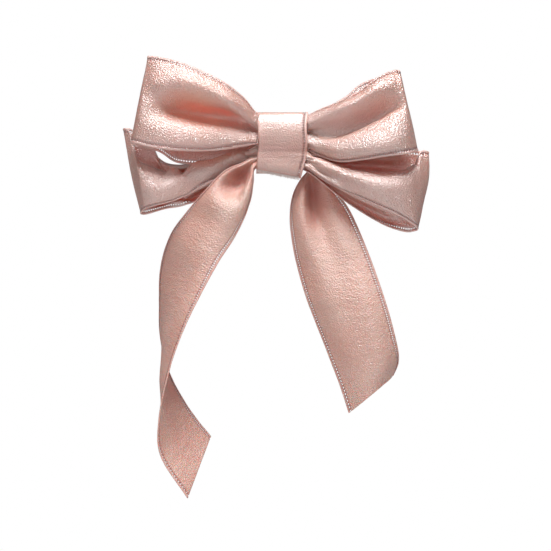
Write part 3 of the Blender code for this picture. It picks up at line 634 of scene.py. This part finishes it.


def satin_material(name, base=BASE, pale=PALE, gloss=GLOSS, ior=IOR, crinkle=0.0,
                   crepe_depth=CREPE):
    """Crepe satin: a soft colour drift, fine grain that breaks the shine up, paler hems; painted
    shade and painted bounce light from the mesh's marks.
    """
    nodes = Nodes(name)
    place = nodes.add("ShaderNodeTexCoord")
    spot = place.outputs["Object"]
    uv = place.outputs["UV"]
    drift = nodes.noise(spot, 45.0, 3.0, 0.55)
    color = nodes.mix(nodes.ramp(drift, 0.35, 0.70), base, pale)
    grain = nodes.noise(spot, 1900.0, 2.0, 0.6)
    color = nodes.mix(nodes.math("MULTIPLY", nodes.ramp(grain, 0.50, 0.80), 0.35), color,
                      tuple(min(1.0, channel * 1.25) for channel in pale))
    hem = nodes.add("ShaderNodeAttribute", attribute_name="hem")
    color = nodes.mix(nodes.math("MULTIPLY", hem.outputs["Fac"], 0.75), color,
                      (0.66, 0.37, 0.31))
    # painted shade: the ladder's column is darkened to stand for the shade seen through its holes
    ladder = nodes.add("ShaderNodeAttribute", attribute_name="ladder")
    color = nodes.mix(nodes.math("MULTIPLY", ladder.outputs["Fac"], 0.85), color,
                      (0.30, 0.09, 0.06))
    # painted bounce light: a warm colour painted into the folds
    painted_bounce_light = nodes.add("ShaderNodeAttribute", attribute_name="painted_bounce_light")
    color = nodes.mix(painted_bounce_light.outputs["Fac"], color, BOUNCE_LIGHT_PAINT)
    # painted shade: a dark colour painted into hollows and folds
    painted_shade = nodes.add("ShaderNodeAttribute", attribute_name="painted_shade")
    color = nodes.mix(painted_shade.outputs["Fac"], color, SHADE_PAINT)
    nodes.link(color, nodes.shader.inputs["Base Color"])
    rough = nodes.math("ADD", nodes.math("MULTIPLY", grain, 0.22), gloss - 0.05)
    rough = nodes.math("ADD", rough, nodes.math("MULTIPLY", painted_shade.outputs["Fac"], 0.25))
    rough = nodes.math("ADD", rough, nodes.math("MULTIPLY", painted_bounce_light.outputs["Fac"], 0.25))
    rough = nodes.math("ADD", rough, nodes.math("MULTIPLY", hem.outputs["Fac"], 0.2))
    nodes.link(rough, nodes.shader.inputs["Roughness"])
    weave = nodes.noise(nodes.scaled(uv, (900.0, 240.0, 1.0)), 1.0, 1.0, 0.5)
    normal = nodes.bump(weave, 0.25, 0.00008)
    crepe = nodes.noise(spot, CREPE_SCALE, 2.0, 0.5)
    normal = nodes.bump(crepe, crepe_depth, 0.0004, normal)
    if crinkle:
        lines = nodes.noise(nodes.scaled(uv, (26.0, 6.0, 1.0)), 1.0, 3.0, 0.6)
        normal = nodes.bump(lines, crinkle, 0.0008, normal)
    nodes.link(normal, nodes.shader.inputs["Normal"])
    nodes.shader.inputs["Specular IOR Level"].default_value = 1.0
    nodes.shader.inputs["Metallic"].default_value = 0.0
    nodes.shader.inputs["IOR"].default_value = ior
    nodes.shader.inputs["Subsurface Weight"].default_value = GLOW
    nodes.shader.inputs["Subsurface Radius"].default_value = (1.0, 0.38, 0.25)
    nodes.shader.inputs["Subsurface Scale"].default_value = 0.0015
    nodes.shader.inputs["Sheen Weight"].default_value = 0.1
    nodes.shader.inputs["Sheen Roughness"].default_value = 0.45
    nodes.shader.inputs["Sheen Tint"].default_value = (1.0, 0.90, 0.87, 1.0)
    return nodes.material


def metal_material(name, color=(0.80, 0.80, 0.82), roughness=0.20):
    """Nickel plate: drawn scratches along the clip, cloudy wear and faint dimples."""
    nodes = Nodes(name)
    spot = nodes.add("ShaderNodeTexCoord").outputs["Object"]
    scratch = nodes.noise(nodes.scaled(spot, (120.0, 2600.0, 2600.0)), 1.0, 2.0, 0.6)
    cloud = nodes.noise(spot, 260.0, 3.0, 0.6)
    dull = tuple(channel * 0.85 for channel in color)
    nodes.link(nodes.mix(nodes.ramp(cloud, 0.30, 0.75), color, dull),
               nodes.shader.inputs["Base Color"])
    rough = nodes.math("ADD", nodes.math("MULTIPLY", scratch, 0.18),
                       nodes.math("MULTIPLY", cloud, 0.16))
    nodes.link(nodes.math("ADD", rough, roughness - 0.16), nodes.shader.inputs["Roughness"])
    normal = nodes.bump(scratch, 0.12, 0.00003)
    nodes.link(nodes.bump(cloud, 0.10, 0.0003, normal), nodes.shader.inputs["Normal"])
    nodes.shader.inputs["Metallic"].default_value = 1.0
    return nodes.material


def thread_material(name, dark=(0.50, 0.30, 0.26), light=(0.74, 0.50, 0.44)):
    nodes = Nodes(name)
    spot = nodes.add("ShaderNodeTexCoord").outputs["Object"]
    twist = nodes.noise(nodes.scaled(spot, (2200.0, 900.0, 900.0)), 1.0, 2.0, 0.6)
    nodes.link(nodes.mix(twist, dark, light),
               nodes.shader.inputs["Base Color"])
    nodes.link(nodes.bump(twist, 0.6, 0.0001), nodes.shader.inputs["Normal"])
    nodes.shader.inputs["Roughness"].default_value = 0.8
    nodes.shader.inputs["Sheen Weight"].default_value = 0.3
    return nodes.material


def glue_material(name):
    nodes = Nodes(name)
    spot = nodes.add("ShaderNodeTexCoord").outputs["Object"]
    cloud = nodes.noise(spot, 420.0, 3.0, 0.6)
    nodes.link(nodes.mix(cloud, (0.80, 0.74, 0.60), (0.93, 0.90, 0.82)),
               nodes.shader.inputs["Base Color"])
    nodes.link(nodes.math("ADD", nodes.math("MULTIPLY", cloud, 0.3), 0.18),
               nodes.shader.inputs["Roughness"])
    nodes.link(nodes.bump(cloud, 0.4, 0.0004), nodes.shader.inputs["Normal"])
    nodes.shader.inputs["Subsurface Weight"].default_value = 0.2
    nodes.shader.inputs["Subsurface Radius"].default_value = (0.002, 0.0015, 0.001)
    return nodes.material


# ---------------------------------------------------------------- pieces
FRONT_LAYER = (0.0, 0.5)
BACK_LAYER = (0.5, 1.0)


def add_ribbon(node, stations, material, wrinkle, relief, painted_bounce_light=(), painted_shade=(),
               run=(0.0, 1.0)):
    """One loop or tail, built along its own path from its stations."""
    piece, length = ribbon_mesh(node + "_ribbon", deepen(stations(), *relief), wrinkle)
    # spots of painted bounce light and painted shade, as colour marks on the ribbon
    mark_painted_light_and_shade(piece.data, "painted_bounce_light", painted_bounce_light, run)
    mark_painted_light_and_shade(piece.data, "painted_shade", painted_shade, run)
    piece.data.materials.append(material)
    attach(piece, "bow")
    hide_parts(node)
    return piece


def make_bow():
    bright = satin_material("bow_satin")
    calm = satin_material("tail_satin", base=(0.69, 0.375, 0.30),
                          pale=(0.76, 0.45, 0.375), gloss=0.37, ior=1.85, crinkle=0.6)
    # the first spot list of each piece is painted bounce light in its folds; the second is painted
    # shade in its hollows and valleys
    add_ribbon("upper_left_loop", upper_left_stations, bright,
               gathers(0.55, 14.0, 1.0), (-12.9, 0.85, 1.5, 11.0, 24.0),
               painted_bounce_light=[(-39.0, 16.5, 13.5, 9.5, 1.0), (-32.0, 10.0, 12.0, 5.5, 0.85)],
               painted_shade=[(-13.0, 6.0, 5.0, 3.0, 0.4)], run=FRONT_LAYER)
    add_ribbon("lower_left_loop", lower_left_stations, bright,
               gathers(0.45, 12.0, 2.0), (-11.0, 1.0, 2.3, 38.0, 60.0),
               painted_bounce_light=[(-34.0, -6.5, 14.0, 4.0, 0.5), (-62.0, -8.0, 4.0, 4.0, 0.3)],
               painted_shade=[(-24.0, -13.5, 7.0, 3.5, 0.5)], run=FRONT_LAYER)
    add_ribbon("upper_right_loop", upper_right_stations, bright,
               gathers(0.45, 14.0, 3.0), (-12.0, 0.95, 1.55, 11.0, 26.0),
               painted_bounce_light=[(44.0, 19.0, 12.0, 5.0, 0.35)], painted_shade=[(22.0, 8.0, 9.0, 2.0, 0.4)],
               run=FRONT_LAYER)
    add_ribbon("lower_right_loop", lower_right_stations, bright,
               gathers(0.45, 14.0, 4.0), (-11.0, 1.0, 1.5),
               painted_bounce_light=[(48.0, -5.0, 16.0, 4.2, 0.8)], run=BACK_LAYER)
    add_ribbon("tail_left", left_tail_stations, calm,
               gathers(0.45, 12.0, 5.0, both_ends=False), (-12.0, 1.0, 1.0),
               painted_shade=[(-18.0, -14.0, 5.5, 4.0, 1.0), (-24.0, -19.5, 5.0, 3.5, 0.7)])
    add_ribbon("tail_right", right_tail_stations, calm,
               gathers(0.40, 12.0, 6.0, both_ends=False), (-4.4, 1.0, 1.7, 12.0, 30.0),
               painted_shade=[(14.0, -22.0, 4.2, 9.0, 0.95), (13.0, -33.0, 3.5, 6.0, 0.5)])


def band_section(left_share):
    """The band's closed path in YZ at one share of its width, from the front's middle up."""
    front = KNOT_LOW.y / MM
    back = KNOT_HIGH.y / MM - 0.3
    top = 13.4
    low = 11.6 + 3.6 * left_share
    points = [(front - 0.35, 1.0), (front - 0.45, 4.4), (front + 0.3, 8.2),
              (front + 2.0, top - 1.7), (front + 4.4, top), (-9.0, top), (-5.0, top - 0.3),
              (-2.6, 9.8), (back - 0.1, 6.0), (back, 3.0), (back, 0.0), (back, -3.0),
              (back - 0.1, -6.0), (-2.6, -9.6), (-5.0, -12.9), (-9.0, 0.2 - low),
              (front + 3.0, 0.1 - low), (front + 1.1, 0.7 - low), (front + 0.3, 2.6 - low),
              (front + 0.2, -6.4), (front + 0.25, -4.0), (front - 0.05, -1.6)]
    return np.array([(0.0, y, z) for y, z in points])


def make_band():
    """The band: a hemmed ribbon folded in at its left side and wrapped round the knot."""
    hem_offsets = [HEM_STEPS[-1] - step for step in reversed(HEM_STEPS)]
    width = BAND_WIDTH
    body = np.linspace(0.0, width - HEM_STEPS[-1], 26)
    offsets = np.array(list(body) + [width - HEM_STEPS[-1] + step for step in hem_offsets[1:]])
    count = len(offsets)
    around = None
    columns = []
    for offset in offsets:
        share = offset / width
        path = band_section(share)
        closed = np.concatenate([path, path[:1]])
        looped = np.concatenate([closed[-3:-1], closed, closed[1:3]])
        fine = spline(looped, np.linspace(2, len(looped) - 3, 600))
        total = lengths_along(fine)[-1]
        if around is None:
            around = 2 * int(round(total / PITCH))
        line = read_line(fine, np.linspace(0, total, around + 1)[:-1])
        lean = np.interp(line[:, 2], [-15, -6, 0, 8, 13],
                         [-0.8 - 1.6 * share, 0.0, 0.6 - 0.2 * share, 0.0, -0.2 + 0.9 * share])
        line[:, 0] = -width / 2 + 0.2 + offset + lean
        line[:, 1] -= 0.5 * np.sin(math.pi * share) * (line[:, 1] < -12)
        columns.append(line)
    grid = np.stack(columns, axis=1)
    for i in range(len(grid)):
        for j in range(count):
            x, y, z = grid[i, j]
            ripple = 0.16 * noise.noise(Vector((x * 0.12, y * 0.3, z * 0.35)))
            ripple += 0.10 * noise.noise(Vector((x * 0.05 + 7, y * 0.5, z * 0.9)))
            grid[i, j, 1] -= ripple * (1.0 if y < -12 else 0.3)
    points = grid.reshape(-1, 3) * MM + np.array(MIDDLE)
    hole_column = len(body) - 1
    faces = []
    rows = len(grid)
    for i in range(rows):
        for j in range(count - 1):
            if j == hole_column and i % 2:
                continue
            after = (i + 1) % rows
            faces.append((i * count + j, after * count + j, after * count + j + 1,
                          i * count + j + 1))
    mesh = bpy.data.meshes.new("knot_band_ribbon")
    mesh.from_pydata([Vector(p) for p in points], [], faces)
    unwrap(mesh, np.arange(rows) * CELL, offsets)
    band = add_piece("knot_band_ribbon", mesh)
    weights = np.full(count, CLOTH_SHARE + 0.1)
    weights[-4:] = (0.5, 0.95, 1.0, 0.55)
    weights[:3] = (0.75, 0.7, 0.6)
    flags = np.zeros(count)
    flags[-4:] = 1.0
    mark(mesh, "hem", flags, rows)
    # the ladder mark carries the painted shade of the holes' column
    ladder = np.zeros(count)
    ladder[[hole_column, hole_column + 1]] = 1.0
    mark(mesh, "ladder", ladder, rows)
    set_thickness(band, HEM_THICKNESS * MM, weights, rows)
    mesh.shade_smooth()
    # painted shade across the band's middle and along its bottom, with a little painted bounce
    # light across its middle
    mark_painted_light_and_shade(mesh, "painted_bounce_light", [(0.0, -2.5, 30.0, 3.0, 0.25)])
    mark_painted_light_and_shade(mesh, "painted_shade", [(0.0, -2.6, 40.0, 4.2, 0.8), (0.0, -14.5, 40.0, 2.0, 0.5)])
    mesh.materials.append(satin_material("band_satin", base=(0.59, 0.285, 0.22),
                                         pale=(0.64, 0.34, 0.275), gloss=0.36, ior=2.2,
                                         crepe_depth=0.7))
    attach(band, "bow")
    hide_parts("knot_band")
    return band


def make_fray():
    """Loose threads along the lower edge of the band's ribbon, where its cut end is tucked under
    it.
    """
    front = KNOT_LOW.y / MM
    form = bmesh.new()
    left, right = -10.4, 7.6
    count = 120
    for k in range(count):
        share = k / (count - 1)
        x = left + (right - left) * share
        edge = -11.6 - 3.6 * share
        shift = noise.noise(Vector((k * 0.37, 1.0, 4.0)))
        drop = 1.2 + 1.2 * noise.noise(Vector((k * 0.71, 3.0, 8.0)))
        depth = front + 1.9 + 0.5 * noise.noise(Vector((k * 0.53, 6.0, 2.0)))
        root = Vector((x, depth, edge + 1.4))
        tip = Vector((x + 0.9 * shift, depth - 0.2, edge - 0.2 - drop * 0.7))
        side = Vector((0.13, 0, 0))
        ahead = Vector((0, 0.13, 0))
        ring = [form.verts.new((point + corner) * MM + MIDDLE)
                for point in (root, tip) for corner in (side, ahead, -side, -ahead)]
        for n in range(4):
            after = (n + 1) % 4
            form.faces.new((ring[n], ring[after], ring[4 + after], ring[4 + n]))
        form.faces.new(ring[3::-1])
        form.faces.new(ring[4:])
    mesh = bpy.data.meshes.new("band_fray")
    form.to_mesh(mesh)
    form.free()
    piece = add_piece("band_fray", mesh)
    mesh.materials.append(thread_material("fray_threads", (0.74, 0.60, 0.56),
                                          (0.92, 0.86, 0.83)))
    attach(piece, "bow")
    return piece


def make_lining():
    """Narrow ribbon along the inner face of the upper jaw."""
    low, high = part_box("jaw_lining")
    half = (high.z - low.z) / 2 / MM
    middle = (low.y + high.y) / 2 / MM
    start, end = low.x / MM, high.x / MM
    flat = [(0, middle), (0.5, middle), (1, middle)]
    stations = [station((start, 0.7 * half), (start, -0.7 * half), flat),
                station((start + 1.0, 0.9 * half), (start + 1.0, -0.9 * half), flat)]
    for k in range(1, 9):
        x = start + 1.5 + (end - start - 1.5) * k / 8
        stations.append(station((x, half), (x, -half), flat))
    width = 2 * half
    rows, travel = even_rows(stations, CELL)
    offsets = np.linspace(0, 1, 15)
    points = []
    for i, row in enumerate(rows):
        total = lengths_along(row)[-1]
        line = read_line(row, offsets * total)
        for j, (x, y, z) in enumerate(line):
            y += 0.05 * noise.noise(Vector((x * 0.5, z * 0.5, 3.0)))
            points.append(Vector((x, y, z)) * MM + Vector((0, 0, MIDDLE.z)))
    count = len(offsets)
    faces = [(i * count + j, i * count + j + 1, (i + 1) * count + j + 1, (i + 1) * count + j)
             for i in range(len(rows) - 1) for j in range(count - 1)]
    mesh = bpy.data.meshes.new("jaw_lining_ribbon")
    mesh.from_pydata(points, [], faces)
    unwrap(mesh, np.arange(len(rows)) * CELL, offsets * width)
    piece = add_piece("jaw_lining_ribbon", mesh)
    flags = np.zeros(count)
    flags[[0, 1, -2, -1]] = 1.0
    mark(mesh, "hem", flags, len(rows))
    set_thickness(piece, high.y - low.y, np.where(flags > 0, 1.0, 0.6), len(rows))
    mesh.shade_smooth()
    mesh.materials.append(satin_material("lining_satin", base=(0.56, 0.27, 0.21), gloss=0.48))
    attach(piece, "bow")
    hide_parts("jaw_lining")
    return piece


def make_spring():
    """Wound wire: the leg at the low end bears on the upper lever, the other on the lower."""
    low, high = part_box("clip_spring")
    wire = 0.3
    half = (high.z - low.z) / 2 / MM - wire
    radius = (PIVOT.x - low.x) / MM - wire
    leg = (high.x - PIVOT.x) / MM - 0.4
    upper_y = (low.y - PIVOT.y) / MM + wire + 0.15
    lower_y = (high.y - PIVOT.y) / MM - wire - 0.15
    turns = 3.5
    samples = 150
    path = [(leg, upper_y, -half), (leg * 0.8, upper_y * 0.88, -half),
            (leg * 0.55, upper_y * 0.70, -half), (leg * 0.25, upper_y * 0.48, -half)]
    for k in range(samples + 1):
        angle = -math.pi / 2 - 2 * math.pi * turns * k / samples
        path.append((radius * math.cos(angle), radius * math.sin(angle),
                     -half + 2 * half * k / samples))
    path += [(leg * 0.25, lower_y * 0.40, half), (leg * 0.55, lower_y * 0.66, half),
             (leg * 0.8, lower_y * 0.86, half), (leg, lower_y, half)]
    fine = spline(np.array(path), np.linspace(0, len(path) - 1, (len(path) - 1) * 2 + 1))
    mesh = tube_mesh("clip_spring_wire", fine, wire, 12)
    piece = add_piece("clip_spring_wire", mesh)
    mesh.materials.append(metal_material("spring_steel", (0.46, 0.46, 0.48), 0.3))
    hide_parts("clip_spring")
    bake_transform(piece)
    return piece


def tube_mesh(name, path, radius, sides):
    """A capped round tube along a path given in design millimetres from the pivot."""
    tangents = np.gradient(path, axis=0)
    tangents /= np.linalg.norm(tangents, axis=1, keepdims=True)
    normal = np.array((0.0, 0.0, 1.0))
    points = []
    for place, tangent in zip(path, tangents):
        normal = normal - tangent * normal.dot(tangent)
        normal /= np.linalg.norm(normal)
        other = np.cross(tangent, normal)
        for k in range(sides):
            angle = 2 * math.pi * k / sides
            spot = place + radius * (math.cos(angle) * normal + math.sin(angle) * other)
            points.append(Vector(spot) * MM + PIVOT)
    faces = []
    for i in range(len(path) - 1):
        for k in range(sides):
            after = (k + 1) % sides
            faces.append((i * sides + k, i * sides + after, (i + 1) * sides + after,
                          (i + 1) * sides + k))
    faces.append(tuple(reversed(range(sides))))
    last = (len(path) - 1) * sides
    faces.append(tuple(range(last, last + sides)))
    mesh = bpy.data.meshes.new(name)
    mesh.from_pydata(points, [], faces)
    mesh.shade_smooth()
    form = bmesh.new()
    form.from_mesh(mesh)
    bmesh.ops.recalc_face_normals(form, faces=form.faces)
    form.to_mesh(mesh)
    form.free()
    return mesh


def dress(node, material):
    """Give a CAD piece its finished material."""
    obj = frame["nodes"][node]
    obj.data.materials.clear()
    obj.data.materials.append(material)
    return obj


def dress_clip():
    plate = metal_material("clip_plate")
    for node in ("clip_top_jaw", "clip_bottom_jaw"):
        jaw = dress(node, plate)
        edge = jaw.modifiers.new("worn_edge", "BEVEL")
        edge.width = 0.12 * MM
        edge.segments = 2
        edge.limit_method = "ANGLE"
        edge.angle_limit = math.radians(40)
    dress("clip_pivot_pin", metal_material("pin_metal", (0.62, 0.62, 0.64), 0.28))
    dress("gather_thread", thread_material("gather_cotton"))
    dress("glue_pad", glue_material("hot_glue"))


# ---------------------------------------------------------------- stage, light and camera
def area_light(name, place, target, size, power, color=(1.0, 1.0, 1.0)):
    data = bpy.data.lights.new(name, "AREA")
    data.shape = "DISK"
    data.size = size
    data.energy = power
    data.color = color
    lamp = add_piece(name, data)
    lamp.location = place
    lamp.rotation_euler = (Vector(target) - Vector(place)).to_track_quat("-Z", "Y").to_euler()
    return lamp


WORLD_FILL = 0.24              # strength of the surroundings, which still look white
VIEW_WIDTH = 242.44            # what the picture is wide, in design millimetres
AIM = Vector((-2.64, 0.0, -58.3))  # middle of the picture from the middle of the knot
LENS = 178
SENSOR = 36
FLOOR_RADIUS = 0.45
FLOOR_DROP = 0.10
KEY_PLACE = Vector((0.05, -0.28, 0.72))
KEY_SIZE = 0.34
KEY_POWER = 7.4
FILL_PLACE = Vector((-0.30, -0.80, 0.10))
FILL_POWER = 1.2


def make_stage():
    low, high = CAD_BOUNDS
    middle = (low + high) / 2
    mesh = bpy.data.meshes.new("floor")
    form = bmesh.new()
    bmesh.ops.create_circle(form, cap_ends=True, segments=96, radius=FLOOR_RADIUS)
    form.to_mesh(mesh)
    form.free()
    floor = add_piece("floor", mesh)
    floor.location = (middle.x, middle.y, low.z - FLOOR_DROP)
    nodes = Nodes("floor_paper")
    spot = nodes.add("ShaderNodeTexCoord").outputs["Object"]
    nodes.link(nodes.mix(nodes.noise(spot, 30.0), (0.86, 0.86, 0.86), (0.90, 0.90, 0.90)),
               nodes.shader.inputs["Base Color"])
    nodes.shader.inputs["Roughness"].default_value = 0.9
    mesh.materials.append(nodes.material)
    world = bpy.data.worlds.new("studio")
    bpy.context.scene.world = world
    world.use_nodes = True
    tree = world.node_tree
    sky = tree.nodes["Background"]
    sky.inputs["Color"].default_value = (1.0, 1.0, 1.0, 1.0)
    seen = tree.nodes.new("ShaderNodeLightPath").outputs["Is Camera Ray"]
    strength = tree.nodes.new("ShaderNodeMapRange")
    strength.inputs["To Min"].default_value = WORLD_FILL
    strength.inputs["To Max"].default_value = 1.0
    tree.links.new(seen, strength.inputs["Value"])
    tree.links.new(strength.outputs["Result"], sky.inputs["Strength"])
    area_light("key", middle + KEY_PLACE, middle, KEY_SIZE, KEY_POWER)
    area_light("fill", middle + FILL_PLACE, middle, 0.5, FILL_POWER)
    bpy.context.scene.view_settings.view_transform = "Standard"


def make_camera():
    data = bpy.data.cameras.new("camera")
    data.lens = LENS
    data.sensor_width = SENSOR
    camera = add_piece("camera", data)
    distance = VIEW_WIDTH * MM * LENS / SENSOR
    aim = MIDDLE + AIM * MM
    camera.location = aim + Vector((0, -distance - 15 * MM, 0))
    camera.rotation_euler = (math.radians(90), 0, 0)
    data.clip_start = 0.01
    bpy.context.scene.camera = camera


make_camera()
make_stage()
make_bow()
make_band()
make_fray()
make_lining()
make_spring()
dress_clip()
